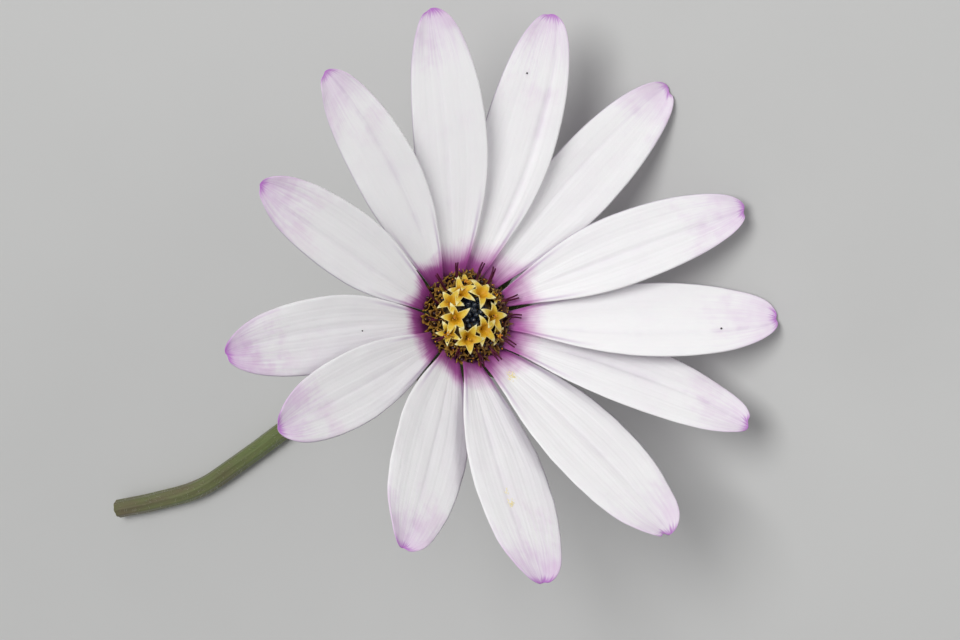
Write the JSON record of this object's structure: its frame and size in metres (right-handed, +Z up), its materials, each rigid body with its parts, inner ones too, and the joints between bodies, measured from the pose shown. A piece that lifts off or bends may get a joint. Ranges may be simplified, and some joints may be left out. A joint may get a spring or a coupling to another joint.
{
  "type": "daisy flower",
  "caption": "Picked daisy-type flower lying on its side: long pale petals round a domed disc of small florets, a green cup of bracts and a gently bent cut stem.",
  "frame": {"origin": "centre of the bounding box's underside, on the surface that the flower lies on", "axes": "+Z up from that surface, +X from the cut end of the stem towards the side that the flower faces"},
  "size_m": [0.092, 0.0622, 0.05],
  "materials": {
    "petal": "soft satin petal skin, white with lilac tips and a violet foot",
    "stem": "finely ribbed and hairy green stem with a brown tinge",
    "bract": "matt green leaf skin with fine hairs",
    "spent_floret": "dry dark maroon",
    "open_floret": "waxy yellow with orange throats",
    "bud": "shiny blue-black"
  },
  "bodies": {
    "root": {"stem": "stem", "involucre": "bract", "ray_floret_01": "petal", "ray_floret_02": "petal", "ray_floret_03": "petal", "ray_floret_04": "petal", "ray_floret_05": "petal", "ray_floret_06": "petal", "ray_floret_07": "petal", "ray_floret_08": "petal", "ray_floret_09": "petal", "ray_floret_10": "petal", "ray_floret_11": "petal", "ray_floret_12": "petal", "ray_floret_13": "petal", "disc_florets_outer": "spent_floret", "disc_florets_open": "open_floret", "disc_buds": "bud"}
  },
  "joints": []
}
